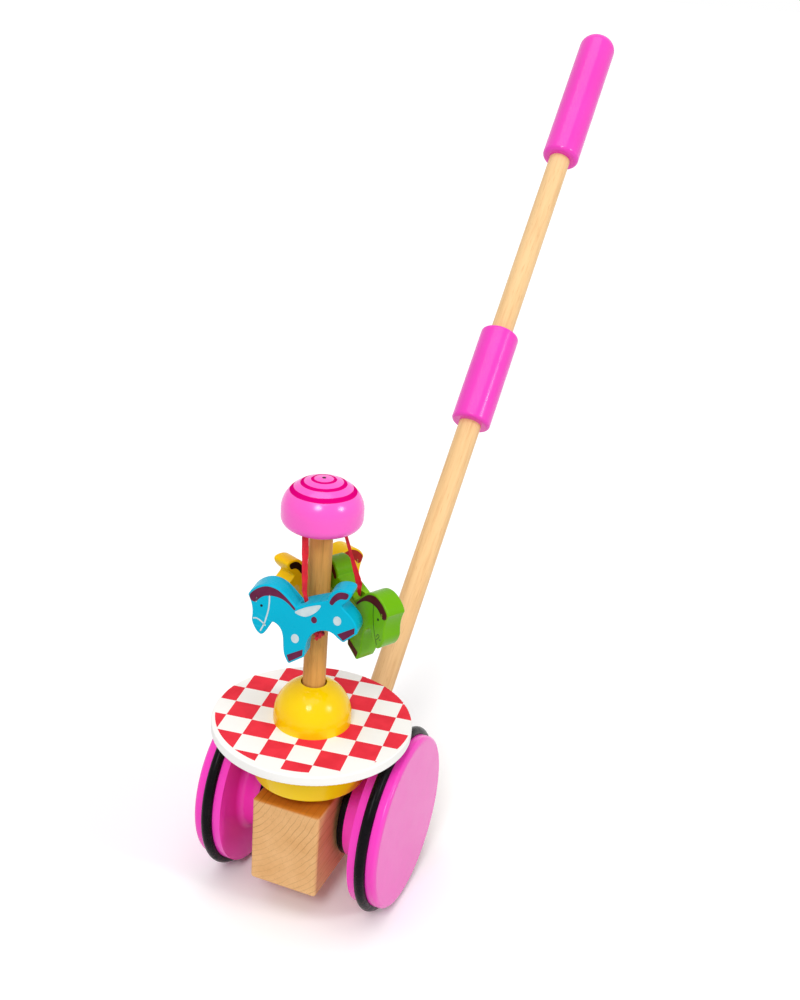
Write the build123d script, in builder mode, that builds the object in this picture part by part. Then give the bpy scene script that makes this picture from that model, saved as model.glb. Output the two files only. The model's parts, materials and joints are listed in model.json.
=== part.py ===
from build123d import *
from math import cos, pi, radians, sin, tan
import os

# A toddler's push toy: two wheels on a wooden block, a long handle that leans back, and a
# roundabout with three cut-out horses hung on cords. The rubber ring inside the left wheel
# rubs under the roundabout's bowl and turns it as the toy rolls.
# Frame: +Z up, +X to the toy's right, +Y back towards the child who pushes. The floor is
# Z = 0, and the origin lies under the middle of the whole toy, handle included.

# Driving dimensions, in millimetres and degrees
overrun = 2.0                # how far a cut runs past the face it opens
glue_gap = 0.02              # radial room in a glued or pressed joint
running_gap = 0.08           # radial room round a shaft that turns
seat_gap = 0.3               # room between a moving face and what it rests on or faces

# Wheels, tyres and axle
tyre_radius = 55.5
tyre_thickness = 6.4         # diameter of the rubber cord that makes the tyre
flange_radius = 51.5
outer_flange = 6.1
inner_flange = 4.9
wheel_face_x = 58.0          # outer face, from the middle of the toy
wheel_edge_round = 2.4
hub_radius = 28.5
hub_length = 13.2
hub_flare = 4.0              # hollow round where the hub meets its flange
spigot_radius = 20.0
axle_radius = 3.0
axle_socket_floor = 8.0      # wood left outside the blind axle socket

# Rings and washers between the wheels and the block
drive_ring_radius = 30.2
spacer_ring_radius = 28.2    # stays clear of the bowl
ring_width = 4.2
ring_edge_round = 0.9
washer_radius = 9.0
washer_thickness = 1.4

# Block
block_width = 42.0
block_front = 49.0           # from the axle forwards
block_back = 70.0            # from the axle back
block_rise = 22.5            # from the axle up
block_drop = 33.5            # from the axle down
block_edge_round = 2.0
handle_socket_depth = 34.0

# Roundabout
post_ahead = 18.0            # the post stands this far in front of the axle
post_radius = 6.5
post_seat_depth = 37.2       # length of post inside the block
bowl_foot_radius = 33.0
bowl_rim_radius = 36.0
bowl_height = 28.4
bowl_edge_round = 1.5
bowl_foot_turn = 75.0        # how far the round edge turns up before the side begins
disc_radius = 57.5
disc_thickness = 6.0
disc_edge_round = 0.7
dome_radius = 22.4
dome_wall = 3.5              # upright stretch below the dome's curve
dome_mouth_radius = 7.5
cap_lift = 186.3             # underside of the cap, from the axle up
cap_radius = 22.4
cap_wall = 6.3
cap_edge_round = 6.2
cap_socket_depth = 15.0
pin_shank_radius = 0.9
pin_shank_length = 10.0
pin_head_radius = 1.5
pin_head_height = 0.8
pin_head_taper = 25.0        # from upright

# Horses and the cords they hang on
horse_length = 61.4
horse_thickness = 12.0
horse_corner_round = 1.2     # left by the saw at each corner of the outline
horse_edge_round = 0.8
hang_lift = 149.1            # mouth of each horse's cord hole, from the axle up
hang_circle_radius = 24.4
cord_circle_radius = 15.8    # where the cords leave the cap
cord_radius = 1.2
cord_bend_radius = 8.0       # over the edge of the hole
cord_end_round = 1.0
cord_hole_radius = 2.3
knot_radius = 3.2
knot_gap = 0.8               # from the middle of the belly hole's mouth

# Handle
handle_lean = 45.0           # back from upright
handle_behind = 63.3         # where the handle's axis comes down to the axle's height
handle_radius = 8.0
sleeve_radius = 14.0
sleeve_start = 237.0         # along the handle from the axle's height
sleeve_length = 75.0
sleeve_edge_round = 2.5
rod_end_gap = 0.4            # between the two rods, halfway along the sleeve
grip_radius = 14.0
grip_start = 470.0
grip_length = 118.0
grip_top_round = 9.5
grip_foot_round = 3.5
grip_socket_depth = 90.0

# The horses: name, heading, bearing of the hole round the post, bearing of the cord's top,
# all in degrees from +X, and the share of the hang circle that the hole stands out
horses = [
    ("blue", 188.5, 271.0, 252.7, 0.75),
    ("green", 331.5, 11.0, 12.7, 0.99),
    ("yellow", 65.5, 117.0, 132.7, 1.0),
]

# Outline of a horse in shares of its length, from the mouth of its cord hole: ahead, above
crest_shares = [(0.49, 0.02), (0.46, 0.07), (0.40, 0.12), (0.31, 0.15), (0.21, 0.13),
                (0.14, 0.08), (0.04, -0.02)]
back_shares = [(0.04, -0.02), (-0.07, 0.03), (-0.23, 0.09)]
tail_shares = [(-0.23, 0.09), (-0.28, 0.19), (-0.36, 0.22), (-0.44, 0.20), (-0.41, 0.12),
               (-0.35, 0.07)]
rump_shares = [(-0.35, 0.07), (-0.43, -0.01), (-0.50, -0.10), (-0.51, -0.18)]
hind_hoof_shares = [(-0.51, -0.18), (-0.39, -0.29), (-0.33, -0.25)]
belly_shares = [(-0.33, -0.25), (-0.22, -0.205), (-0.11, -0.26), (-0.05, -0.40), (-0.045, -0.50)]
fore_hoof_shares = [(-0.045, -0.50), (0.10, -0.60), (0.13, -0.54)]
chest_shares = [(0.13, -0.54), (0.155, -0.40), (0.18, -0.27), (0.26, -0.205)]
jaw_shares = [(0.26, -0.205), (0.30, -0.28), (0.36, -0.35), (0.43, -0.28), (0.45, -0.20)]
face_shares = [(0.45, -0.20), (0.455, -0.07), (0.49, 0.02)]
knot_way_shares = (-0.12, -0.24)       # where the cord leaves the belly

# Heights and places worked out from those
axle_z = tyre_radius
block_top = axle_z + block_rise
bowl_foot = axle_z + drive_ring_radius + seat_gap
disc_foot = bowl_foot + bowl_height
disc_top = disc_foot + disc_thickness
cap_foot = axle_z + cap_lift
cap_top = cap_foot + cap_wall + cap_radius
groove_x = wheel_face_x - outer_flange - tyre_thickness
flange_x = groove_x - inner_flange
hub_x = flange_x - hub_length
ring_x = hub_x - ring_width
washer_x = block_width / 2 + seat_gap
spigot_x = washer_x + washer_thickness + seat_gap
tyre_ring_radius = tyre_radius - tyre_thickness / 2
groove_radius = tyre_ring_radius - tyre_thickness / 2 - glue_gap
axle_end_x = wheel_face_x - axle_socket_floor - seat_gap

lean = radians(handle_lean)
grip_end = grip_start + grip_length
toy_back = (handle_behind + (grip_end - grip_top_round) * sin(lean)
            + (grip_radius - grip_top_round) * cos(lean) + grip_top_round)
toy_front = post_ahead + disc_radius
axle_y = (toy_front - toy_back) / 2
post_y = axle_y - post_ahead
rod_start = (block_back - handle_behind) / sin(lean) - handle_socket_depth
rod_middle = sleeve_start + sleeve_length / 2
rod_end = grip_start + grip_socket_depth

post_axis = Axis((0, post_y, 0), (0, 0, 1))
post_section = Plane((0, post_y, 0), x_dir=(1, 0, 0), z_dir=(0, -1, 0))
handle_plane = Plane((0, axle_y + handle_behind, axle_z), x_dir=(1, 0, 0),
                     z_dir=(0, sin(lean), cos(lean)))

os.makedirs("parts", exist_ok=True)


def save(piece, name):
    """Label a finished sub-part and write its STEP file."""
    piece.part.label = name
    export_step(piece.part, f"parts/{name}.step")


def axle_section(side):
    """Section plane along the axle: x runs outwards on this side, y is the radius."""
    return Plane((0, axle_y, axle_z), x_dir=(side, 0, 0), z_dir=(0, -side, 0))


def round_post(distance, bearing, height):
    """The point this far from the post's axis, on this bearing."""
    turn = radians(bearing)
    return Vector(distance * cos(turn), post_y + distance * sin(turn), height)


def ball_outline(foot, radius, wall):
    """Half section of a turned half ball: a flat foot, a short wall and a round crown."""
    with BuildLine(Plane.XY) as outline:
        Polyline((0, foot + wall + radius), (0, foot), (radius, foot), (radius, foot + wall))
        CenterArc((0, foot + wall), radius, 0, 90)
    return outline.edges()


# Block, with bores for the axle, the post and the handle
with BuildPart() as block:
    with BuildSketch(Plane((0, axle_y, axle_z - block_drop))):
        with Locations((0, (block_back - block_front) / 2)):
            Rectangle(block_width, block_front + block_back)
    extrude(amount=block_drop + block_rise)
    fillet(block.edges(), radius=block_edge_round)
    with BuildSketch(Plane((-block_width / 2 - overrun, axle_y, axle_z), z_dir=(1, 0, 0))):
        Circle(axle_radius + running_gap)
    extrude(amount=block_width + 2 * overrun, mode=Mode.SUBTRACT)
    with BuildSketch(Plane((0, post_y, block_top - post_seat_depth - seat_gap))):
        Circle(post_radius + running_gap)
    extrude(amount=post_seat_depth + seat_gap + overrun, mode=Mode.SUBTRACT)
    with BuildSketch(handle_plane.offset(rod_start)):
        Circle(handle_radius + glue_gap)
    extrude(amount=handle_socket_depth + handle_radius / tan(lean) + overrun, mode=Mode.SUBTRACT)
save(block, "block")

# Axle
with BuildPart() as axle:
    with BuildSketch(Plane((-axle_end_x, axle_y, axle_z), z_dir=(1, 0, 0))):
        Circle(axle_radius)
    extrude(amount=2 * axle_end_x)
save(axle, "axle")

# Wheels, tyres, rings and washers, left then right
for side_name, side, ring_radius in [("left", -1, drive_ring_radius),
                                     ("right", 1, spacer_ring_radius)]:
    axle_axis = Axis((0, axle_y, axle_z), (1, 0, 0))

    with BuildPart() as wheel:
        with BuildSketch(axle_section(side)):
            with BuildLine():
                Polyline(
                    (flange_x, hub_radius + hub_flare),
                    (flange_x, flange_radius),
                    (groove_x, flange_radius),
                    (groove_x, groove_radius),
                    (groove_x + tyre_thickness, groove_radius),
                    (groove_x + tyre_thickness, flange_radius),
                    (wheel_face_x - wheel_edge_round, flange_radius),
                )
                JernArc((wheel_face_x - wheel_edge_round, flange_radius), (1, 0),
                        wheel_edge_round, -90)
                Polyline(
                    (wheel_face_x, flange_radius - wheel_edge_round),
                    (wheel_face_x, 0),
                    (wheel_face_x - axle_socket_floor, 0),
                    (wheel_face_x - axle_socket_floor, axle_radius + glue_gap),
                    (spigot_x, axle_radius + glue_gap),
                    (spigot_x, spigot_radius),
                    (hub_x, spigot_radius),
                    (hub_x, hub_radius),
                    (flange_x - hub_flare, hub_radius),
                )
                JernArc((flange_x - hub_flare, hub_radius), (1, 0), hub_flare, 90)
            make_face()
        revolve(axis=axle_axis)
    save(wheel, f"wheel_{side_name}")

    with BuildPart() as tyre:
        with BuildSketch(axle_section(side)):
            with Locations((groove_x + tyre_thickness / 2, tyre_ring_radius)):
                Circle(tyre_thickness / 2 - glue_gap)
        revolve(axis=axle_axis)
    save(tyre, f"tyre_{side_name}")

    with BuildPart() as ring:
        with BuildSketch(axle_section(side)) as ring_section:
            with BuildLine():
                Polyline(
                    (ring_x, spigot_radius + glue_gap),
                    (ring_x, ring_radius),
                    (hub_x, ring_radius),
                    (hub_x, spigot_radius + glue_gap),
                    close=True,
                )
            make_face()
            fillet(ring_section.vertices().group_by(Axis.Y)[-1], radius=ring_edge_round)
        revolve(axis=axle_axis)
    save(ring, f"ring_{side_name}")

    with BuildPart() as washer:
        with BuildSketch(Plane((side * washer_x, axle_y, axle_z), z_dir=(side, 0, 0))):
            Circle(washer_radius)
            Circle(axle_radius + glue_gap, mode=Mode.SUBTRACT)
        extrude(amount=washer_thickness)
    save(washer, f"washer_{side_name}")

# Post, which turns in the block and carries the roundabout
with BuildPart() as post:
    with BuildSketch(Plane((0, post_y, block_top - post_seat_depth))):
        Circle(post_radius)
    extrude(amount=post_seat_depth + cap_lift - block_rise + cap_socket_depth - seat_gap)
save(post, "post")

# Bowl under the disc
with BuildPart() as bowl:
    with BuildSketch(post_section):
        with BuildLine():
            Line((post_radius + glue_gap, disc_foot), (post_radius + glue_gap, bowl_foot))
            Line((post_radius + glue_gap, bowl_foot), (bowl_foot_radius - bowl_edge_round, bowl_foot))
            foot_arc = JernArc((bowl_foot_radius - bowl_edge_round, bowl_foot), (1, 0),
                               bowl_edge_round, bowl_foot_turn)
            TangentArc(foot_arc @ 1, (bowl_rim_radius, disc_foot), tangent=foot_arc % 1)
            Line((bowl_rim_radius, disc_foot), (post_radius + glue_gap, disc_foot))
        make_face()
    revolve(axis=post_axis)
save(bowl, "bowl")

# Disc
with BuildPart() as disc:
    with BuildSketch(Plane((0, post_y, disc_foot))):
        Circle(disc_radius)
    extrude(amount=disc_thickness)
    fillet(disc.edges(), radius=disc_edge_round)
    with BuildSketch(Plane((0, post_y, disc_foot - overrun))):
        Circle(post_radius + glue_gap)
    extrude(amount=disc_thickness + 2 * overrun, mode=Mode.SUBTRACT)
save(disc, "disc")

# Dome on the disc, open at the top round the post
with BuildPart() as dome:
    with BuildSketch(post_section):
        make_face(ball_outline(disc_top, dome_radius, dome_wall))
    revolve(axis=post_axis)
    with BuildSketch(Plane((0, post_y, disc_top - overrun))):
        Circle(dome_mouth_radius)
    extrude(amount=dome_wall + dome_radius + 2 * overrun, mode=Mode.SUBTRACT)
save(dome, "dome")

# Cap on the post's top, and the pin that holds it
with BuildPart() as cap:
    with BuildSketch(post_section):
        make_face(ball_outline(cap_foot, cap_radius, cap_wall))
    revolve(axis=post_axis)
    fillet(cap.edges().group_by(Axis.Z)[0], radius=cap_edge_round)
    with BuildSketch(Plane((0, post_y, cap_foot - overrun))):
        Circle(post_radius + glue_gap)
    extrude(amount=overrun + cap_socket_depth, mode=Mode.SUBTRACT)
    with BuildSketch(Plane((0, post_y, cap_top - pin_shank_length))):
        Circle(pin_shank_radius + glue_gap)
    extrude(amount=pin_shank_length + overrun, mode=Mode.SUBTRACT)
save(cap, "cap")

with BuildPart() as cap_pin:
    with BuildSketch(Plane((0, post_y, cap_top - pin_shank_length + seat_gap))):
        Circle(pin_shank_radius)
    extrude(amount=pin_shank_length)
    with BuildSketch(Plane((0, post_y, cap_top + glue_gap))):
        Circle(pin_head_radius)
    extrude(amount=pin_head_height, taper=pin_head_taper)
save(cap_pin, "cap_pin")


def horse_points(shares):
    """Outline points of a horse at its real size."""
    return [(horse_length * ahead, horse_length * above) for ahead, above in shares]


# Horses, each sawn from a board, with the cord that it hangs on
for name, heading, hole_bearing, top_bearing, spread_share in horses:
    hole_mouth = round_post(hang_circle_radius * spread_share, hole_bearing, axle_z + hang_lift)
    facing = radians(heading)
    side_plane = Plane(hole_mouth, x_dir=(cos(facing), sin(facing), 0),
                       z_dir=(sin(facing), -cos(facing), 0))
    belly_hole = side_plane.from_local_coords(horse_points([knot_way_shares])[0])
    down_hole = (belly_hole - hole_mouth).normalized()

    with BuildPart() as horse:
        with BuildSketch(side_plane) as outline:
            with BuildLine():
                Spline(horse_points(crest_shares))
                Spline(horse_points(back_shares))
                Spline(horse_points(tail_shares))
                Spline(horse_points(rump_shares))
                Polyline(horse_points(hind_hoof_shares))
                Spline(horse_points(belly_shares))
                Polyline(horse_points(fore_hoof_shares))
                Spline(horse_points(chest_shares))
                Spline(horse_points(jaw_shares))
                Spline(horse_points(face_shares))
            make_face()
            fillet(outline.vertices(), radius=horse_corner_round)
        extrude(amount=horse_thickness / 2, both=True)
        flanks = horse.faces().filter_by(GeomType.PLANE).sort_by(Axis(hole_mouth, side_plane.z_dir))
        fillet(flanks[0].edges() + flanks[-1].edges(), radius=horse_edge_round)
        with BuildSketch(Plane(belly_hole, z_dir=down_hole)):
            Circle(cord_hole_radius)
        extrude(amount=horse_length, both=True, mode=Mode.SUBTRACT)
    save(horse, f"horse_{name}")

    cord_pivot = round_post(cord_circle_radius, top_bearing, cap_foot - seat_gap - cord_radius)
    cord_fall = (hole_mouth - cord_pivot).normalized()
    cord_top = cord_pivot - cord_fall * cord_radius
    knot = belly_hole + down_hole * (knot_radius + knot_gap)
    with BuildPart() as cord:
        with BuildLine() as cord_way:
            FilletPolyline(cord_top, hole_mouth, knot, radius=cord_bend_radius)
        with BuildSketch(Plane(cord_top, z_dir=cord_fall)):
            Circle(cord_radius)
        sweep()
        fillet(cord.edges().sort_by(Axis.Z)[-1], radius=cord_end_round)
        with Locations(Plane(knot, z_dir=down_hole)):
            Sphere(knot_radius)
    save(cord, f"cord_{name}")
    cord_length = cord_way.wire().length
    bend = cord_fall.get_angle(down_hole)
    print(f"{name} cord: {cord_length:.1f} mm, turns {bend:.0f} degrees on {cord_bend_radius} mm,",
          f"tube {cord_length * pi * cord_radius ** 2:.0f} cubic mm")

# Handle: two rods, the sleeve that joins them and the grip
with BuildPart() as rod_lower:
    with BuildSketch(handle_plane.offset(rod_start)):
        Circle(handle_radius)
    extrude(amount=rod_middle - rod_end_gap / 2 - rod_start)
save(rod_lower, "rod_lower")

with BuildPart() as rod_upper:
    with BuildSketch(handle_plane.offset(rod_middle + rod_end_gap / 2)):
        Circle(handle_radius)
    extrude(amount=rod_end - seat_gap - rod_middle - rod_end_gap / 2)
save(rod_upper, "rod_upper")

with BuildPart() as sleeve:
    with BuildSketch(handle_plane.offset(sleeve_start)):
        Circle(sleeve_radius)
    extrude(amount=sleeve_length)
    fillet(sleeve.edges().filter_by(GeomType.CIRCLE), radius=sleeve_edge_round)
    with BuildSketch(handle_plane.offset(sleeve_start - overrun)):
        Circle(handle_radius + glue_gap)
    extrude(amount=sleeve_length + 2 * overrun, mode=Mode.SUBTRACT)
save(sleeve, "sleeve")

with BuildPart() as grip:
    with BuildSketch(handle_plane.offset(grip_start)):
        Circle(grip_radius)
    extrude(amount=grip_length)
    fillet(grip.edges().filter_by(GeomType.CIRCLE).sort_by(Axis.Z)[0], radius=grip_foot_round)
    fillet(grip.edges().filter_by(GeomType.CIRCLE).sort_by(Axis.Z)[-1], radius=grip_top_round)
    with BuildSketch(handle_plane.offset(grip_start - overrun)):
        Circle(handle_radius + glue_gap)
    extrude(amount=overrun + grip_socket_depth, mode=Mode.SUBTRACT)
save(grip, "grip")
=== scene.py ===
import json
from math import cos, pi, radians, sin

import bmesh
import bpy
from mathutils import Matrix, Vector, geometry
from mathutils.bvhtree import BVHTree

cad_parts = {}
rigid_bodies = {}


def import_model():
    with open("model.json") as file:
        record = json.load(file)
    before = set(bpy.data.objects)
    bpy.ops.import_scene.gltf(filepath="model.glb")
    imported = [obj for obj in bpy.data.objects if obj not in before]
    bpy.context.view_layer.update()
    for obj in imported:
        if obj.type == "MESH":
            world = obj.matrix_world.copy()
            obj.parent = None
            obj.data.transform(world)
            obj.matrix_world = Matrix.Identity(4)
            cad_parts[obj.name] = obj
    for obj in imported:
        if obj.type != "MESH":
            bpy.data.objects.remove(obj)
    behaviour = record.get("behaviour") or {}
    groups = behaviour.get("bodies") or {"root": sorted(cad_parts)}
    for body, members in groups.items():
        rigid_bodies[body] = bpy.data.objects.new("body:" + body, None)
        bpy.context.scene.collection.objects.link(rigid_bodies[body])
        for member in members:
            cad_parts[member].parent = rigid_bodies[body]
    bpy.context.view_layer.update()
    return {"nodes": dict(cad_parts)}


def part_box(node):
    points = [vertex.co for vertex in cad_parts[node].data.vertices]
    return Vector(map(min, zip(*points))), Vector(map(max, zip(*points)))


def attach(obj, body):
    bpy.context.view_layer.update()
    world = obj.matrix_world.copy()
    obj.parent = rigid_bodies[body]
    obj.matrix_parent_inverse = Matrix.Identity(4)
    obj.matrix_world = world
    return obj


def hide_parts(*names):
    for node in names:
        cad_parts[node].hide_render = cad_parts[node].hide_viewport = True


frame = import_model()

# Looks of a toddler's push toy: lacquered and varnished wood, rubber, printed marks, ribbons,
# and the light and camera of the photograph. Lengths are metres in the frame of the parts.

mm = 0.001


def middle(node):
    """Centre of a CAD node's box at rest."""
    low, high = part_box(node)
    return (low + high) / 2


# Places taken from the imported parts
axle = middle("axle")
post = middle("post")
block = middle("block")
block_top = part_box("block")[1].z
disc_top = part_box("disc")[1].z
disc_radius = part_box("disc")[1].x - post.x
cap_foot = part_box("cap")[0].z
cap_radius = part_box("cap")[1].x - post.x
post_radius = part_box("post")[1].x - post.x
wheel_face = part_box("wheel_right")[1].x - axle.x    # a wheel's outer face, from the middle

# Camera, fitted to the photograph: angles in degrees, pixels of the 800 by 1000 picture
camera_azimuth = 20.28
camera_elevation = 23.1
camera_roll = 4.32
camera_distance = 787.3 * mm
camera_aim_right = 48.2 * mm          # picture's centre from the axle, along the picture
camera_aim_up = 178.6 * mm
focal_pixels = 1300
picture_height_pixels = 1000
sensor_width = 36                     # millimetres, along the picture's longer side

# The horses' board, and the circle that their cord holes stand on
horse_length = 61.4 * mm
horse_thickness = 12.0 * mm
hang_circle_radius = 24.4 * mm
hang_lift = 149.1 * mm                # mouth of each cord hole, from the axle up

# Horses: heading and bearing of the hole in degrees, its share of the circle, and the
# points of each ribbon in metres
horses = {
    "blue": (188.5, 271.0, 0.75, [(-0.0022, -0.2382, 0.2415), (-0.0006, -0.2400, 0.2184),
                                  (0.0003, -0.2411, 0.2046), (0.0094, -0.2397, 0.1863)]),
    "green": (331.5, 11.0, 0.99, [(0.0124, -0.2208, 0.2415), (0.0197, -0.2190, 0.2182),
                                  (0.0237, -0.2182, 0.2046), (0.0157, -0.2138, 0.1863)]),
    "yellow": (65.5, 117.0, 1.0, [(-0.0107, -0.2115, 0.2415), (-0.0109, -0.2049, 0.2181),
                                  (-0.0111, -0.2010, 0.2046), (-0.0149, -0.2094, 0.1863)]),
}

# Ribbons: real length, which way each lies flat, in degrees from +X, its twist along its
# length, and its width at the cap and at the horse
ribbons = {
    "blue": (57.8 * mm, 12, -18, 3.6 * mm, 3.0 * mm),
    "green": (58.1 * mm, 25, 10, 1.8 * mm, 3.4 * mm),
    "yellow": (58.5 * mm, 60, 30, 2.6 * mm, 3.6 * mm),
}
ribbon_thickness = 0.7 * mm
ribbon_crease = 0.34                  # depth of the lengthwise fold, as a share of the width
gathered_width = 2.4 * mm             # of a ribbon in its horse's hole, as thick as it is wide
widen_from, widen_over = 0.15, 0.30   # where its width changes, as shares of its length
gather_from = 0.55                    # and where it gathers
gather_over = 0.06
ribbon_ripples = [(0.04, 27, 0), (0.03, 61, 1)]    # share of its width, waves along it, start
sway_angle, sway_waves = 6, 21        # degrees that it turns to and fro, waves along it

# Knots: each a small trefoil of thick cord with two loose ends, in shares of its radius
knot_radius = 3.0 * mm
knot_rise = 0.15                      # of its middle over the ribbon's end
trefoil_width, trefoil_depth = 0.235, 0.45
knot_cord_radius = 0.36
knot_tails = [(0.9, 1.25, 0), (-0.7, 1.05, 60)]    # lean, length, and turn in degrees
tail_fall, tail_bow = 0.6, 0.12       # how far a loose end hangs, and how far it bows
tail_widths = [1.6 * mm, 2.0 * mm, 2.3 * mm]
tail_thicknesses = [0.9 * mm, 0.6 * mm, 0.4 * mm]
tail_crease = 0.1

# The cap's shoulders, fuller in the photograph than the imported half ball: a foot edge, an
# upright wall and a crown that is a flattened half ball, with the pin's small head on top
cap_foot_round = 6.2 * mm
cap_wall_top = 10.6 * mm              # from the cap's foot up to where the crown starts
cap_crown = 17.4 * mm
pin_radius = 1.1 * mm
pin_height = 0.5 * mm
pin_seat = 0.1 * mm                   # pressed into the crown
turned_sides = 96
turned_steps = 14                     # of a quarter round

# Cap's painted rings: radius and half width, outer to inner. They waver a little, and their
# edges are a little soft
cap_rings = [(17.2 * mm, 1.08 * mm), (11.7 * mm, 1.00 * mm), (6.2 * mm, 0.85 * mm)]
cap_ring_waver = 0.25 * mm
cap_ring_softness = 0.08 * mm
cap_shine = 0.58                      # gloss of the cap between its rings

# Wheels' outer faces: their paler pink, a painted reflection of the white surroundings, is whole this
# far in, and gone this far in
face_reflection_depth = 0.4 * mm
face_reflection_end = 2.6 * mm

# Block's growth rings: their middle, up to the left of its front face, and their spacing. The
# sway and waver of each ring are shares of that
ring_middle_left = 58 * mm
ring_middle_rise = 24 * mm
ring_middle = (block.x - ring_middle_left, block_top + ring_middle_rise)
ring_spacing = 3.4 * mm
ring_sway, ring_waver = 1.3, 0.4

# Painted shade and a painted yellow reflection of the bowl on the block's top: whole inside the bowl's
# foot and gone at the disc's edge, whole down to the first depth and gone at the second
bowl_foot_radius = 33.0 * mm
shade_full_depth = 0.6 * mm
shade_end_depth = 1.6 * mm

# Printed marks: a thin film on the wood
mark_lift = 0.05 * mm                 # its top stands this far off the wood
mark_sink = 0.10 * mm                 # and its underside this far inside
mark_step = 0.9 * mm                  # spacing of the points inside a mark
mark_curve_steps = 4                  # points on its outline for each one named below
mark_merge = 0.001 * mm               # points nearer than this are one

# Outlines of marks, in shares of a horse's length from the mouth of its cord hole: ahead, above
mane_shares = [(0.472, 0.024), (0.447, 0.060), (0.392, 0.105), (0.315, 0.134), (0.227, 0.119),
               (0.155, 0.070), (0.092, 0.008), (0.054, -0.036), (0.066, -0.050), (0.116, -0.002),
               (0.179, 0.036), (0.255, 0.050), (0.332, 0.038), (0.380, 0.006), (0.418, -0.034),
               (0.462, -0.022)]
tail_mark_shares = [(-0.250, 0.082), (-0.274, 0.140), (-0.320, 0.188), (-0.371, 0.201),
                    (-0.416, 0.188), (-0.400, 0.140), (-0.346, 0.131), (-0.303, 0.096),
                    (-0.276, 0.060)]
saddle_shares = [(0.056, -0.073), (0.001, -0.028), (-0.065, 0.006), (-0.168, 0.040),
                 (-0.158, -0.005), (-0.100, -0.065), (-0.026, -0.099)]
fore_bar_shares = [(-0.031, -0.424), (-0.027, -0.489), (0.094, -0.574), (0.115, -0.508)]
hind_bar_shares = [(-0.487, -0.122), (-0.487, -0.178), (-0.389, -0.268), (-0.334, -0.214)]
bridle_shares = [(0.291, 0.050), (0.291, -0.020), (0.297, -0.090), (0.312, -0.160), (0.332, -0.235),
                 (0.365, -0.312)]
noseband_shares = [(0.436, -0.200), (0.401, -0.195), (0.354, -0.222), (0.322, -0.252)]
ear_shares = [(0.412, -0.030), (0.406, 0.008)]
girth_dot_shares = (-0.120, -0.114)
hip_spot_shares = (-0.328, -0.084)
shoulder_spot_shares = (0.045, -0.330)
eye_shares = (0.362, -0.063)
nostril_shares = (0.405, -0.245)
hook_shares = [(0.355, -0.235), (0.372, -0.205), (0.392, -0.212), (0.380, -0.240), (0.355, -0.262)]
girth_dot_radius_shares = (0.027, 0.033)
spot_radius_shares = (0.036, 0.045)
eye_radius_shares = (0.012, 0.013)
nostril_radius_shares = (0.007, 0.007)
bridle_width_share = 0.013
fine_line_width_share = 0.006
ear_width_share = 0.014

# Checker print on the disc: squares turned a little, on a paper circle set a little off centre
check_size = 15.43 * mm
check_turn = 7.7                      # degrees
check_middle_shares = (3.056, 2.133)  # squares from the pattern's corner to the post
print_middle_shares = (3.056, 1.92)   # and to the middle of the paper circle
print_radius_shares = 3.66            # of a square
print_depth = 0.25 * mm               # the print is drawn this far down from the disc's top


# Camera
def add_camera():
    """Camera at the photograph's place."""
    azimuth, elevation, roll = (radians(a) for a in (camera_azimuth, camera_elevation, camera_roll))
    back = Vector((sin(azimuth) * cos(elevation), -cos(azimuth) * cos(elevation), sin(elevation)))
    level = Vector((cos(azimuth), sin(azimuth), 0))
    upright = back.cross(level)
    right = level * cos(roll) + upright * sin(roll)
    up = upright * cos(roll) - level * sin(roll)
    place = axle + right * camera_aim_right + up * camera_aim_up + back * camera_distance
    camera = bpy.data.objects.new("camera", bpy.data.cameras.new("camera"))
    bpy.context.scene.collection.objects.link(camera)
    camera.data.sensor_width = sensor_width
    camera.data.lens = sensor_width * focal_pixels / picture_height_pixels
    turned = Matrix((right, up, back)).transposed().to_4x4()
    camera.matrix_world = Matrix.Translation(place) @ turned
    bpy.context.scene.camera = camera


# Light and floor. For each lamp, its azimuth from the front towards +X, its height over the
# floor, what it adds to a white surface that faces it, and its width. Angles are in degrees
lamps = {
    "main_lamp": (8, 45, 0.32, 16),
    "side_lamp": (85, 32, 0.24, 13),
    "top_lamp": (0, 78, 0.33, 50),
}
world_level = 0.42                    # what the white surroundings add from all sides
floor_half = 20.0                     # metres
floor_bounce = 0.80                   # the floor's grey for the light that it gives the toy
floor_shown = 1.06                    # and for the camera, which sees it as full white


def add_lamp(name, azimuth, elevation, level, width):
    """Broad far lamp."""
    light = bpy.data.lights.new(name, "SUN")
    light.energy = level * pi
    light.angle = radians(width)
    lamp = bpy.data.objects.new(name, light)
    bpy.context.scene.collection.objects.link(lamp)
    turn, rise = radians(azimuth), radians(elevation)
    towards = Vector((sin(turn) * cos(rise), -cos(turn) * cos(rise), sin(rise)))
    lamp.matrix_world = towards.to_track_quat("Z", "Y").to_matrix().to_4x4()


def add_node(material, kind, values=None, **settings):
    """A shader node with these settings. Its inputs take plain values or links by name."""
    tree = material.node_tree
    made = tree.nodes.new(kind)
    for name, value in settings.items():
        setattr(made, name, value)
    for name, value in (values or {}).items():
        if isinstance(value, bpy.types.NodeSocket):
            tree.links.new(value, made.inputs[name])
        else:
            made.inputs[name].default_value = value
    return made


def camera_share(material):
    """1 for what the camera sees, directly, mirrored or through glass, and 0 for other light."""
    path = add_node(material, "ShaderNodeLightPath")
    mirrored = add_node(material, "ShaderNodeMath", {0: path.outputs["Is Camera Ray"],
                                                     1: path.outputs["Is Glossy Ray"]},
                        operation="MAXIMUM")
    through = add_node(material, "ShaderNodeMath", {0: mirrored.outputs[0],
                                                    1: path.outputs["Is Transmission Ray"]},
                       operation="MAXIMUM")
    return through.outputs[0]


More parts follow.
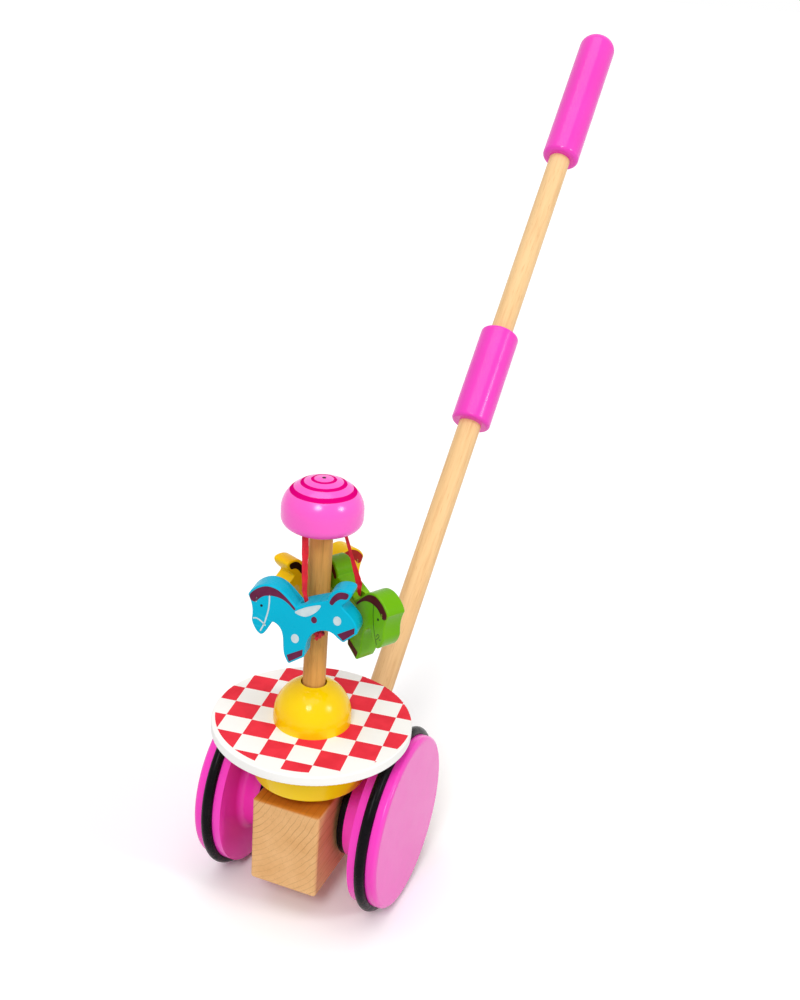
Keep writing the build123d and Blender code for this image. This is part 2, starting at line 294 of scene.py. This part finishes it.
def add_world():
    """White surroundings: full white to look at, and less than half of that as light."""
    world = bpy.data.worlds.new("studio")
    world.use_nodes = True
    bpy.context.scene.world = world
    world.node_tree.nodes.clear()
    seen = camera_share(world)
    light, white = (add_node(world, "ShaderNodeBackground", {"Color": (1, 1, 1, 1),
                                                             "Strength": level})
                    for level in (world_level, 1.0))
    mix = add_node(world, "ShaderNodeMixShader", {0: seen, 1: light.outputs[0], 2: white.outputs[0]})
    add_node(world, "ShaderNodeOutputWorld", {"Surface": mix.outputs[0]})


def add_floor():
    """White floor that keeps the toy's soft shadow."""
    mesh = bpy.data.meshes.new("floor")
    corners = [(-1, -1), (1, -1), (1, 1), (-1, 1)]
    mesh.from_pydata([(x * floor_half, y * floor_half, 0) for x, y in corners], [], [(0, 1, 2, 3)])
    floor = bpy.data.objects.new("floor", mesh)
    bpy.context.scene.collection.objects.link(floor)
    material = bpy.data.materials.new("floor_white")
    material.use_nodes = True
    material.node_tree.nodes.clear()
    seen = camera_share(material)
    bounce, shown = (add_node(material, "ShaderNodeBsdfDiffuse", {"Color": (grey, grey, grey, 1)})
                     for grey in (floor_bounce, floor_shown))
    mix = add_node(material, "ShaderNodeMixShader", {0: seen, 1: bounce.outputs[0],
                                                     2: shown.outputs[0]})
    add_node(material, "ShaderNodeOutputMaterial", {"Surface": mix.outputs[0]})
    mesh.materials.append(material)


# Materials
wood_roughness = 0.42
ink_roughness = 0.36


def linear(red, green, blue):
    """A colour read off the photograph, 0 to 255, as Blender's linear colour."""
    parts = []
    for part in (red, green, blue):
        share = part / 255
        parts.append(share / 12.92 if share <= 0.04045 else ((share + 0.055) / 1.055) ** 2.4)
    return (*parts, 1)


def start_material(name, values):
    """A Principled material with these plain values: itself, its shader, and each point's place."""
    material = bpy.data.materials.new(name)
    material.use_nodes = True
    shader = material.node_tree.nodes["Principled BSDF"]
    for socket, value in values.items():
        shader.inputs[socket].default_value = value
    place = add_node(material, "ShaderNodeTexCoord").outputs["Object"]
    return material, shader, place


def link(material, source, shader, socket):
    """Feeds an output to one of the shader's inputs."""
    material.node_tree.links.new(source, shader.inputs[socket])


def noise(material, vector, scale, detail=3.0, rough=0.5):
    """Noise of this scale, per metre."""
    made = add_node(material, "ShaderNodeTexNoise", {"Vector": vector, "Scale": scale,
                                                     "Detail": detail, "Roughness": rough})
    return made.outputs["Fac"]


def ramp(material, factor, low, high, from_low=0.35, from_high=0.65):
    """Factor from from_low to from_high, spread from low to high."""
    made = add_node(material, "ShaderNodeMapRange", {"Value": factor, "From Min": from_low,
                                                     "From Max": from_high, "To Min": low,
                                                     "To Max": high})
    return made.outputs["Result"]


def blend_colours(material, factor, first, second, mode="MIX"):
    """Mix of two colours, each a colour or a link."""
    made = add_node(material, "ShaderNodeMix", {0: factor}, data_type="RGBA", blend_type=mode)
    for socket, value in ((6, first), (7, second)):
        if isinstance(value, bpy.types.NodeSocket):
            material.node_tree.links.new(value, made.inputs[socket])
        else:
            made.inputs[socket].default_value = value
    return made.outputs[2]


def calculate(material, operation, first, second=0.0):
    """One sum on plain numbers or links."""
    made = add_node(material, "ShaderNodeMath", {0: first, 1: second}, operation=operation)
    return made.outputs[0]


def multiply(material, first, *others):
    """Product of plain numbers or links."""
    for other in others:
        first = calculate(material, "MULTIPLY", first, other)
    return first


def stretch(material, vector, scale, turn=(0, 0, 0), shift=(0, 0, 0)):
    """Coordinates stretched, turned and then moved."""
    made = add_node(material, "ShaderNodeMapping", {"Vector": vector, "Scale": scale,
                                                    "Rotation": turn, "Location": shift},
                    vector_type="POINT")
    return made.outputs["Vector"]


def along_axis(material, place, axis):
    """One of a place's three coordinates."""
    return add_node(material, "ShaderNodeSeparateXYZ", {0: place}).outputs[axis]


def from_post(material, place):
    """Distance from the post's axis."""
    flat = stretch(material, place, (1, 1, 0), shift=(-post.x, -post.y, 0))
    return add_node(material, "ShaderNodeVectorMath", {0: flat}, operation="LENGTH").outputs["Value"]


def uneven_roughness(material, shader, factor, roughness, less, more):
    """Roughness that wanders from a little less to a little more."""
    link(material, ramp(material, factor, roughness - less, roughness + more), shader, "Roughness")


def add_bump(material, shader, height, strength, distance):
    """Fine relief on the shader's normal."""
    made = add_node(material, "ShaderNodeBump", {"Height": height, "Strength": strength,
                                                 "Distance": distance})
    link(material, made.outputs["Normal"], shader, "Normal")


def paler_edges_and_highlight(material, colour, pale, amount):
    """Colour with its outer edges a little paler: thinner lacquer there, and a painted highlight on
    them.
    """
    geometry_node = add_node(material, "ShaderNodeNewGeometry")
    edge = ramp(material, geometry_node.outputs["Pointiness"], 0.0, amount, 0.52, 0.60)
    return blend_colours(material, edge, colour, pale)


def lacquer(name, colour, deep, pale, roughness, shine, paint=None, edges=0.35):
    """Sprayed lacquer on smooth wood: thin and thick patches, uneven gloss, and paler edges that are
    thinner lacquer and partly a painted highlight. shine is how strong its gloss is, and edges how
    pale its edges are. paint adds a pattern over the base colour before the edges are drawn."""
    material, shader, place = start_material(name, {"Specular IOR Level": shine})
    patches = ramp(material, noise(material, place, scale=28), 0.0, 0.55)
    base = blend_colours(material, patches, linear(*colour), linear(*deep))
    if paint:
        base = paint(material, place, base, shader)
    # Paler edges: thinner lacquer there, and a painted highlight on them
    if edges:
        base = paler_edges_and_highlight(material, base, linear(*pale), edges)
    link(material, base, shader, "Base Color")
    fine = noise(material, place, scale=110, detail=2)
    uneven_roughness(material, shader, fine, roughness, less=0.04, more=0.05)
    return material


def varnished_wood(name, light, dark, streak, along, turn=(0, 0, 0), fibre=0.45, rings=False):
    """Clear varnish on wood. along is how its grain is stretched, turn brings the grain's own
    axis to Z, and fibre is how dark its fibres are. rings adds the block's growth rings and
    the deeper shade on its top."""
    material, shader, place = start_material(name, {"Specular IOR Level": 0.15})
    grain = stretch(material, stretch(material, place, (1, 1, 1), turn), along)
    wide = ramp(material, noise(material, grain, scale=60), 0.0, 1.0, 0.32, 0.68)
    base = blend_colours(material, wide, linear(*light), linear(*dark))
    fibres = noise(material, grain, scale=420, detail=5, rough=0.6)
    base = blend_colours(material, ramp(material, fibres, 0.0, fibre, 0.48, 0.75), base,
                         linear(*streak))
    if rings:
        base = add_rings(material, place, base, linear(*streak))
        # Painted shade and painted yellow reflection of the bowl on the block's top
        base = paint_shade_under_bowl(material, place, base)
    pores = ramp(material, noise(material, grain, scale=1500, detail=2), 0.0, 0.45, 0.62, 0.72)
    base = blend_colours(material, pores, base, linear(*streak))
    link(material, base, shader, "Base Color")
    uneven_roughness(material, shader, fibres, wood_roughness, less=0.05, more=0.10)
    add_bump(material, shader, fibres, strength=0.12, distance=0.08 * mm)
    return material


def add_rings(material, place, base, line_colour):
    """Growth rings: thin dark curves round a line along Y, which fade out here and there."""
    centred = stretch(material, place, (1, 0, 1), shift=(-ring_middle[0], 0, -ring_middle[1]))
    reach = add_node(material, "ShaderNodeVectorMath", {0: centred}, operation="LENGTH")
    reach = reach.outputs["Value"]
    for along, scale, share in ((0.25, 45, ring_sway), (0.1, 110, ring_waver)):
        uneven = noise(material, stretch(material, place, (1, along, 1)), scale, detail=2)
        reach = calculate(material, "ADD", reach, multiply(material, uneven, ring_spacing * share))
    turn = calculate(material, "FRACT", calculate(material, "DIVIDE", reach, ring_spacing))
    late = ramp(material, turn, 0.0, 0.80, 0.82, 0.97)
    after = ramp(material, turn, 1.0, 0.0, 0.965, 1.0)
    faint = ramp(material, noise(material, place, scale=35, detail=2), 0.35, 1.0, 0.4, 0.6)
    return blend_colours(material, multiply(material, late, after, faint), base, line_colour)


def paint_shade_under_bowl(material, place, base):
    """The block's top, yellower and darker round the bowl: painted shade and a painted yellow
    reflection of the bowl. It stands for the deep shade that the photograph shows there, which these
    lamps don't give."""
    on_top = ramp(material, along_axis(material, place, "Z"), 0.0, 1.0,
                  block_top - shade_end_depth, block_top - shade_full_depth)
    near = ramp(material, from_post(material, place), 1.0, 0.0, bowl_foot_radius, disc_radius)
    # This colour multiplies in the painted shade and the bowl's painted yellow reflection
    return blend_colours(material, multiply(material, on_top, near), base, linear(222, 172, 84),
                         "MULTIPLY")


def paint_rings(material, place, base, shader):
    """Darker pink rings round the cap's crown, matt where the lacquer between them shines."""
    waver = multiply(material, noise(material, place, scale=120, detail=1), cap_ring_waver)
    radius = calculate(material, "ADD", from_post(material, place), waver)
    bare = 1.0
    for middle_radius, half_width in cap_rings:
        off = calculate(material, "ABSOLUTE", calculate(material, "SUBTRACT", radius, middle_radius))
        inside = ramp(material, off, 1.0, 0.0, half_width - cap_ring_softness,
                      half_width + cap_ring_softness)
        base = blend_colours(material, inside, base, linear(222, 4, 122))
        bare = multiply(material, bare, calculate(material, "SUBTRACT", 1.0, inside))
    link(material, multiply(material, bare, cap_shine), shader, "Specular IOR Level")
    return base


def paint_wheel_reflection(material, place, base, shader):
    """The wheels' deeper pink everywhere but on their outer faces, whose paler pink is a painted
    reflection of the white surroundings.
    """
    offset = calculate(material, "SUBTRACT", along_axis(material, place, "X"), axle.x)
    offset = calculate(material, "ABSOLUTE", offset)
    # Painted reflection: the outer faces keep the paler pink, and the rest turns deeper
    inner = ramp(material, offset, 1.0, 0.0, wheel_face - face_reflection_end,
                 wheel_face - face_reflection_depth)
    return blend_colours(material, inner, base, linear(253, 60, 196))


def paint_checks(material, place, base, shader):
    """Red squares on white, printed inside a circle a little smaller than the disc."""
    turn = radians(check_turn)
    across = Vector((cos(turn), sin(turn), 0)) / check_size
    down = Vector((sin(turn), -cos(turn), 0)) / check_size
    squares, offs = [], []
    for direction, centre, print_centre in zip((across, down), check_middle_shares,
                                               print_middle_shares):
        dot = add_node(material, "ShaderNodeVectorMath", {0: place, 1: direction},
                       operation="DOT_PRODUCT").outputs["Value"]
        count = calculate(material, "ADD", dot, centre - direction.dot(post))
        squares.append(calculate(material, "FLOOR", count))
        offs.append(calculate(material, "SUBTRACT", count, print_centre))
    odd = calculate(material, "FLOORED_MODULO", calculate(material, "ADD", *squares), 2.0)
    reach = calculate(material, "ADD", *(multiply(material, off, off) for off in offs))
    inside = calculate(material, "LESS_THAN", calculate(material, "SQRT", reach), print_radius_shares)
    top = calculate(material, "GREATER_THAN", along_axis(material, place, "Z"), disc_top - print_depth)
    red = multiply(material, calculate(material, "SUBTRACT", 1.0, odd), inside, top)
    ink = blend_colours(material, ramp(material, noise(material, place, scale=90), 0.0, 1.0),
                        linear(240, 56, 72), linear(228, 48, 64))
    return blend_colours(material, red, base, ink)


def rubber(name, colour, bloom_colour, roughness):
    """Black rubber: matt bloom in patches and a fine moulded grain."""
    material, shader, place = start_material(name, {"Specular IOR Level": 0.07})
    bloom = ramp(material, noise(material, place, scale=70, detail=4), 0.0, 1.0)
    base = blend_colours(material, bloom, linear(*colour), linear(*bloom_colour))
    link(material, base, shader, "Base Color")
    uneven_roughness(material, shader, noise(material, place, scale=240), roughness, less=0.06,
                     more=0.10)
    add_bump(material, shader, noise(material, place, scale=1700, detail=2), strength=0.15,
             distance=0.04 * mm)
    return material


def metal(name, colour, roughness):
    """Plain metal with turning marks, darker inside them."""
    material, shader, place = start_material(name, {"Metallic": 1.0})
    lines = noise(material, stretch(material, place, (30, 1, 1)), scale=300)
    base = blend_colours(material, ramp(material, lines, 0.0, 0.6), linear(*colour),
                         linear(*(part * 0.7 for part in colour)))
    link(material, base, shader, "Base Color")
    uneven_roughness(material, shader, lines, roughness, less=0.06, more=0.10)
    add_bump(material, shader, lines, strength=0.10, distance=0.03 * mm)
    return material


def printed(name, colour, deep):
    """Ink on the horse's lacquer, slightly uneven, with a soft gloss."""
    material, shader, place = start_material(name, {"Specular IOR Level": 0.12})
    speckle = ramp(material, noise(material, place, scale=260, detail=4), 0.0, 0.8, 0.4, 0.7)
    base = blend_colours(material, speckle, linear(*colour), linear(*deep))
    link(material, base, shader, "Base Color")
    fine = noise(material, place, scale=500, detail=2)
    uneven_roughness(material, shader, fine, ink_roughness, less=0.06, more=0.06)
    add_bump(material, shader, noise(material, place, scale=900, detail=2), strength=0.08,
             distance=0.03 * mm)
    return material


def ribbon_cloth(name, colour, deep, pale, sheen):
    """Woven satin ribbon: fine cross weave, random darker patches as painted shade of creases, painted
    glints and a soft sheen.
    """
    material, shader, place = start_material(name, {"Sheen Weight": 0.35, "Sheen Roughness": 0.4,
                                                    "Sheen Tint": linear(*sheen),
                                                    "Specular IOR Level": 0.35})
    # Painted shade: random darker patches that stand for creases
    crease_shade = ramp(material, noise(material, place, scale=200, detail=2), 0.0, 0.7, 0.40, 0.75)
    base = blend_colours(material, crease_shade, linear(*colour), linear(*deep))
    # Painted glints: small paler specks
    painted_glints = noise(material, stretch(material, place, (1, 1, 0.4)), scale=900)
    painted_glints = ramp(material, painted_glints, 0.0, 0.5, 0.60, 0.72)
    base = blend_colours(material, painted_glints, base, linear(*pale))
    link(material, base, shader, "Base Color")
    weft = add_node(material, "ShaderNodeTexWave", {"Vector": place, "Scale": 750.0,
                                                    "Distortion": 0.6}, bands_direction="Z")
    weft = weft.outputs["Fac"]
    link(material, ramp(material, weft, 0.42, 0.60, 0.0, 1.0), shader, "Roughness")
    add_bump(material, shader, weft, strength=0.35, distance=0.06 * mm)
    return material


# Pieces
def add_piece(name, vertices, faces, material, smooth=True):
    """Mesh object from vertices and faces."""
    mesh = bpy.data.meshes.new(name)
    mesh.from_pydata([tuple(v) for v in vertices], [], faces)
    mesh.validate()
    work = bmesh.new()
    work.from_mesh(mesh)
    bmesh.ops.recalc_face_normals(work, faces=work.faces)
    work.to_mesh(mesh)
    work.free()
    mesh.materials.append(material)
    for polygon in mesh.polygons:
        polygon.use_smooth = smooth
    piece = bpy.data.objects.new(name, mesh)
    bpy.context.scene.collection.objects.link(piece)
    return piece


def smooth_line(points, closed, steps):
    """Catmull-Rom line through the points."""
    count = len(points)
    spans = count if closed else count - 1
    line = []
    for span in range(spans):
        if closed:
            near = [points[(span + step) % count] for step in (-1, 0, 1, 2)]
        else:
            near = [points[min(max(span + step, 0), count - 1)] for step in (-1, 0, 1, 2)]
        for step in range(steps):
            t = step / steps
            weights = (-t + 2 * t * t - t ** 3, 2 - 5 * t * t + 3 * t ** 3,
                       t + 4 * t * t - 3 * t ** 3, t ** 3 - t * t)
            line.append(sum((Vector(p) * w / 2 for p, w in zip(near, weights)), Vector((0, 0))))
    if not closed:
        line.append(Vector(points[-1]))
    return line


def thick_line(points, width):
    """Closed outline round an open line, its ends rounded, in shares."""
    line = smooth_line(points, False, mark_curve_steps)
    left, right = [], []
    for index, point in enumerate(line):
        ahead = line[min(index + 1, len(line) - 1)] - line[max(index - 1, 0)]
        side = Vector((-ahead.y, ahead.x)).normalized() * width / 2
        left.append(point + side)
        right.append(point - side)
    first_cap = line[0] - (line[1] - line[0]).normalized() * width / 2
    last_cap = line[-1] + (line[-1] - line[-2]).normalized() * width / 2
    return left + [last_cap] + right[::-1] + [first_cap]


def spot(middle_shares, radii):
    """Closed oval outline, in shares."""
    sides = 16
    return [Vector((middle_shares[0] + radii[0] * cos(2 * pi * side / sides),
                    middle_shares[1] + radii[1] * sin(2 * pi * side / sides)))
            for side in range(sides)]


def horse_frame(name):
    """Mouth of the horse's cord hole, the way it faces, and its flank's direction."""
    heading, bearing, share, _ = horses[name]
    turn = radians(bearing)
    reach = hang_circle_radius * share
    mouth = Vector((post.x + reach * cos(turn), post.y + reach * sin(turn), axle.z + hang_lift))
    ahead = Vector((cos(radians(heading)), sin(radians(heading)), 0))
    return mouth, ahead, Vector((ahead.y, -ahead.x, 0))


def mark_vertices_and_faces(name, outline, start):
    """One printed patch on both flanks: a film laid on the board, its underside in the wood."""
    mouth, ahead, flank = horse_frame(name)
    board = BVHTree.FromObject(bpy.data.objects["horse_" + name], dependencies)
    flat = [Vector(p) * horse_length for p in outline]
    edges = [(i, (i + 1) % len(flat)) for i in range(len(flat))]
    low = Vector((min(p.x for p in flat), min(p.y for p in flat)))
    high = Vector((max(p.x for p in flat), max(p.y for p in flat)))
    grid = []
    for column in range(1, int((high.x - low.x) / mark_step) + 1):
        for row in range(1, int((high.y - low.y) / mark_step) + 1):
            grid.append(low + Vector((column, row)) * mark_step)
    inside_only = 1
    points, _, triangles, *_ = geometry.delaunay_2d_cdt(flat + grid, edges, [], inside_only,
                                                        mark_merge)
    used = sorted({corner for triangle in triangles for corner in triangle})
    place = {corner: index for index, corner in enumerate(used)}
    triangles = [tuple(place[corner] for corner in triangle) for triangle in triangles]
    sides = [edge for a, b, c in triangles for edge in ((a, b), (b, c), (c, a))]
    reversed_sides = {edge[::-1] for edge in sides}
    rim = [edge for edge in sides if edge not in reversed_sides]
    vertices, faces = [], []
    for side in (1, -1):
        tops, bases = [], []
        for corner in used:
            point = mouth + ahead * points[corner].x + Vector((0, 0, points[corner].y))
            outside = point + flank * side * horse_thickness
            hit, normal, _, _ = board.ray_cast(outside, flank * -side, horse_thickness)
            if hit is None:
                hit, normal, _, _ = board.find_nearest(point + flank * side * horse_thickness / 2)
            tops.append(hit + normal * mark_lift)
            bases.append(hit - normal * mark_sink)
        first = start + len(vertices)
        under = first + len(tops)
        vertices += tops + bases
        faces += [tuple(first + corner for corner in triangle) for triangle in triangles]
        faces += [tuple(under + corner for corner in triangle[::-1]) for triangle in triangles]
        faces += [(first + b, first + a, under + a, under + b) for a, b in rim]
    return vertices, faces


def add_marks(name, colour_name, outlines, material):
    """All of one colour's printed marks on a horse, as one piece."""
    vertices, faces = [], []
    for outline in outlines:
        more_vertices, more_faces = mark_vertices_and_faces(name, outline, len(vertices))
        vertices += more_vertices
        faces += more_faces
    piece = add_piece("marks_" + name + "_" + colour_name, vertices, faces, material, smooth=False)
    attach(piece, name + "_horse")


def patch(points):
    """Closed smooth outline through the points, in shares."""
    return smooth_line(points, True, mark_curve_steps)


def dress_horse(name, main, main_outlines, pale, pale_outlines, dark, dark_outlines):
    """A horse's marks, one piece for each of its three inks."""
    add_marks(name, "main", main_outlines, main)
    add_marks(name, "pale", pale_outlines, pale)
    add_marks(name, "dark", dark_outlines, dark)


def route_line(name, points):
    """NURBS curve of a ribbon's route, and the points that it runs through."""
    curve = bpy.data.curves.new(name + "_route", "CURVE")
    curve.dimensions = "3D"
    curve.resolution_u = 24
    spline = curve.splines.new("NURBS")
    spline.points.add(len(points) - 1)
    for point, place in zip(spline.points, points):
        point.co = (*place, 1)
    spline.order_u = 3
    spline.use_endpoint_u = True
    route = bpy.data.objects.new(name + "_route", curve)
    bpy.context.scene.collection.objects.link(route)
    bpy.context.view_layer.update()
    mesh = bpy.data.meshes.new_from_object(route)
    line = [vertex.co.copy() for vertex in mesh.vertices]
    bpy.data.meshes.remove(mesh)
    bpy.data.objects.remove(route)
    return line


def strip(line, widths, thicknesses, turns, crease, start=0):
    """Closed flat strip along a line: its section is a thin, slightly folded oval."""
    sides = 10
    fold_middle = 0.6                 # share of the half width where the fold crosses the line
    vertices, faces = [], []
    for index, point in enumerate(line):
        along = (line[min(index + 1, len(line) - 1)] - line[max(index - 1, 0)]).normalized()
        across = Vector((cos(turns[index]), sin(turns[index]), 0))
        across = (across - along * across.dot(along)).normalized()
        out = along.cross(across)
        for side in range(sides):
            angle = 2 * pi * side / sides
            wide = cos(angle) * widths[index] / 2
            fold = crease * (abs(cos(angle)) - fold_middle) * widths[index]
            vertices.append(point + across * wide
                            + out * (sin(angle) * thicknesses[index] / 2 + fold))
    for index in range(len(line) - 1):
        for side in range(sides):
            a, b = index * sides + side, index * sides + (side + 1) % sides
            faces.append((start + a, start + b, start + b + sides, start + a + sides))
    faces.append(tuple(start + side for side in range(sides))[::-1])
    last = (len(line) - 1) * sides
    faces.append(tuple(start + last + side for side in range(sides)))
    return vertices, faces


def knot_line(middle_point, axis, across):
    """Overhand knot: a trefoil drawn small, its axis along the ribbon."""
    steps = 60
    out = axis.cross(across)
    line = []
    for step in range(steps):
        t = 2 * pi * step / steps
        x = (sin(t) + 2 * sin(2 * t)) * trefoil_width
        y = (cos(t) - 2 * cos(2 * t)) * trefoil_width
        z = -sin(3 * t) * trefoil_depth
        line.append(middle_point + (across * x + out * y + axis * z) * knot_radius)
    return line


def add_knot(name, end, axis, facing, material):
    """The knot on a ribbon's end, with its two loose ends."""
    across = axis.orthogonal().normalized()
    middle_point = end - axis * knot_radius * knot_rise
    vertices, faces = tube(knot_line(middle_point, axis, across), knot_cord_radius * knot_radius)
    for lean, length, turn in knot_tails:
        tip = middle_point + (across * lean + axis * tail_fall) * knot_radius * length
        half = (middle_point + tip) / 2 + axis * knot_radius * tail_bow
        more_vertices, more_faces = strip([middle_point, half, tip], tail_widths, tail_thicknesses,
                                          [radians(facing + turn)] * 3, tail_crease, len(vertices))
        vertices += more_vertices
        faces += more_faces
    knot = add_piece("knot_" + name, vertices, faces, material)
    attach(knot, name + "_horse")
    return knot


def add_ribbon(name, points, material):
    """A horse's ribbon, from inside the cap to the knot under the belly, and its knot."""
    line = route_line("ribbon_" + name, points)
    real_length, facing, twist, cap_width, horse_width = ribbons[name]
    widths, thicknesses, turns = [], [], []
    for index in range(len(line)):
        share = index / (len(line) - 1)
        hang = min(max((share - widen_from) / widen_over, 0), 1)
        in_wood = min(max((share - gather_from) / gather_over, 0), 1)
        width = cap_width + (horse_width - cap_width) * hang
        width *= 1 + sum(depth * sin(share * rate + begin) for depth, rate, begin in ribbon_ripples)
        widths.append(width * (1 - in_wood) + gathered_width * in_wood)
        thicknesses.append(ribbon_thickness * (1 - in_wood) + gathered_width * in_wood)
        turns.append(radians(facing + twist * share + sway_angle * sin(share * sway_waves)))
    vertices, faces = strip(line, widths, thicknesses, turns, ribbon_crease)
    piece = add_piece("ribbon_" + name, vertices, faces, material)
    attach(piece, name + "_horse")
    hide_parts("cord_" + name)
    knot = add_knot(name, line[-1], (line[-1] - line[-3]).normalized(), facing, material)


def tube(line, radius):
    """Closed ring-shaped tube round a closed line."""
    sides = 8
    never_along = Vector((0.31, 0.22, 0.93))    # a direction in which no knot runs
    vertices, faces = [], []
    count = len(line)
    for index, point in enumerate(line):
        along = (line[(index + 1) % count] - line[index - 1]).normalized()
        across = along.cross(never_along).normalized()
        out = along.cross(across)
        for side in range(sides):
            angle = 2 * pi * side / sides
            vertices.append(point + (across * cos(angle) + out * sin(angle)) * radius)
    for index in range(count):
        for side in range(sides):
            a, b = index * sides + side, index * sides + (side + 1) % sides
            after = ((index + 1) % count - index) * sides
            faces.append((a, b, b + after, a + after))
    return vertices, faces


def add_turned(name, outline, foot, node, material):
    """A turned piece round the post's axis, which replaces a node of the roundabout. outline
    gives radius and height above foot, from the foot up."""
    vertices, faces = [], []
    for radius, height in outline:
        for side in range(turned_sides):
            turn = 2 * pi * side / turned_sides
            vertices.append((post.x + radius * cos(turn), post.y + radius * sin(turn),
                             foot + height))
    for ring in range(len(outline) - 1):
        for side in range(turned_sides):
            a, b = ring * turned_sides + side, ring * turned_sides + (side + 1) % turned_sides
            faces.append((a, b, b + turned_sides, a + turned_sides))
    last = (len(outline) - 1) * turned_sides
    faces.append(tuple(range(turned_sides))[::-1])
    faces.append(tuple(last + side for side in range(turned_sides)))
    piece = add_piece(name, vertices, faces, material)
    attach(piece, "carousel")
    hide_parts(node)


def add_cap(cap_material, pin_material):
    """The cap: flat foot, rounded edge, wall and crown. The pin: a low domed head."""
    outline = [(post_radius, 0)]
    for step in range(turned_steps + 1):
        turn = pi / 2 * step / turned_steps
        outline.append((cap_radius - cap_foot_round * (1 - sin(turn)),
                        cap_foot_round * (1 - cos(turn))))
    for step in range(2 * turned_steps):
        turn = pi / 2 * step / (2 * turned_steps)
        outline.append((cap_radius * cos(turn), cap_wall_top + cap_crown * sin(turn)))
    add_turned("cap_turned", outline, cap_foot, "cap", cap_material)
    head = [(pin_radius, -pin_seat)]
    for step in range(turned_steps):
        turn = pi / 2 * step / turned_steps
        head.append((pin_radius * cos(turn), pin_height * sin(turn)))
    pin_foot = cap_foot + cap_wall_top + cap_crown - pin_seat
    add_turned("pin_head", head, pin_foot, "cap_pin", pin_material)


# The making, camera and ribbons first
bpy.context.scene.view_settings.view_transform = "Standard"
add_camera()
# Ribbon colours: the cloth, its painted crease shade, its painted glints, and the sheen's tint
cloth = ribbon_cloth("ribbon_red", (226, 18, 44), (166, 8, 28), (244, 60, 74), (255, 150, 160))
for horse, (*_, points) in horses.items():
    add_ribbon(horse, points, cloth)
dependencies = bpy.context.evaluated_depsgraph_get()

mane, tail_mark, saddle = patch(mane_shares), patch(tail_mark_shares), patch(saddle_shares)
bars = [fore_bar_shares, hind_bar_shares]
bridle = thick_line(bridle_shares, bridle_width_share)
noseband = thick_line(noseband_shares, bridle_width_share)
fine_bridle = thick_line(bridle_shares, fine_line_width_share)
fine_hook = thick_line(hook_shares, fine_line_width_share)
ear = thick_line(ear_shares, ear_width_share)
eye = spot(eye_shares, eye_radius_shares)
nostril = spot(nostril_shares, nostril_radius_shares)
spots = [spot(hip_spot_shares, spot_radius_shares), spot(shoulder_spot_shares, spot_radius_shares)]
girth_dot = spot(girth_dot_shares, girth_dot_radius_shares)

pale_ink = printed("ink_pale", (206, 222, 226), (188, 206, 212))
dark_ink = printed("ink_dark", (34, 12, 22), (22, 6, 14))
dress_horse("blue", printed("ink_purple", (107, 33, 69), (88, 22, 56)),
            [mane, tail_mark, girth_dot] + bars,
            pale_ink, [saddle, bridle, noseband, ear] + spots, dark_ink, [eye])
dress_horse("green", printed("ink_maroon", (84, 16, 12), (66, 10, 8)), [mane, tail_mark] + bars,
            printed("ink_leaf", (170, 214, 60), (154, 200, 40)), [saddle, ear] + spots,
            dark_ink, [eye, nostril, fine_bridle, fine_hook])
# The yellow horse's tail mark is printed in the near-black ink as painted shade on a red mark; its eye
# and nostril are black ink
dress_horse("yellow", printed("ink_red", (176, 26, 8), (150, 16, 6)), [mane, girth_dot] + bars,
            printed("ink_straw", (250, 214, 110), (244, 204, 90)), [saddle, ear] + spots,
            printed("ink_black_and_tail_shade", (34, 9, 4), (24, 6, 3)), [tail_mark, eye, nostril])

# How grain is stretched along an axis, and the turn that brings the handle's grain to Z
along_z, along_y = (1, 1, 0.06), (1, 0.06, 1)
handle_turn = (radians(45), 0, 0)

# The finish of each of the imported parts' slots
finishes = {
    "beech": varnished_wood("wood_beech", (240, 190, 132), (228, 174, 114), (172, 116, 58), along_y,
                            fibre=0.12, rings=True),
    "pale_wood": varnished_wood("wood_pale", (242, 202, 148), (232, 186, 128), (202, 148, 94),
                                along_z, handle_turn),
    "post_wood": varnished_wood("wood_post", (234, 174, 96), (208, 142, 62), (146, 92, 42), along_z),
    # Each lacquer: its colour, its deeper patches, and its paler edges, which are partly a painted
    # highlight
    "pink_wheel": lacquer("lacquer_wheel", (240, 80, 190), (235, 72, 184), (252, 150, 218),
                          roughness=0.20, shine=0.28, paint=paint_wheel_reflection, edges=0),
    "pink_grip": lacquer("lacquer_grip", (242, 62, 192), (236, 54, 184), (255, 120, 220),
                         roughness=0.19, shine=0.32),
    "pink_cap": lacquer("lacquer_cap", (253, 88, 201), (250, 78, 194), (255, 130, 214),
                        roughness=0.20, shine=cap_shine, paint=paint_rings),
    "yellow": lacquer("lacquer_yellow", (255, 214, 2), (252, 200, 1), (255, 226, 40),
                      roughness=0.17, shine=0.20),
    "checker": lacquer("lacquer_white", (250, 249, 246), (246, 244, 240), (255, 255, 252),
                       roughness=0.36, shine=0.03, paint=paint_checks, edges=0),
    "blue_horse": lacquer("lacquer_blue", (2, 184, 216), (1, 172, 206), (70, 208, 232),
                          roughness=0.28, shine=0.07),
    "green_horse": lacquer("lacquer_green", (112, 180, 2), (94, 162, 2), (150, 208, 40),
                           roughness=0.24, shine=0.14),
    "yellow_horse": lacquer("lacquer_amber", (255, 212, 10), (250, 196, 4), (255, 228, 60),
                            roughness=0.28, shine=0.12),
    "black_rubber": rubber("rubber_black", (7, 5, 8), (18, 14, 19), roughness=0.26),
    "steel": metal("steel_turned", (176, 172, 168), roughness=0.35),
    "pin_dark": metal("pin_iron", (60, 42, 40), roughness=0.40),
    "red_cord": cloth,
}
add_cap(finishes["pink_cap"], finishes["pin_dark"])
for thing in list(bpy.data.objects):
    if thing.type == "MESH" and thing.parent and thing.name in frame["nodes"]:
        for held in thing.material_slots:
            if held.material and held.material.name in finishes:
                held.material = finishes[held.material.name]

add_floor()
add_world()
for lamp_name, looks in lamps.items():
    add_lamp(lamp_name, *looks)
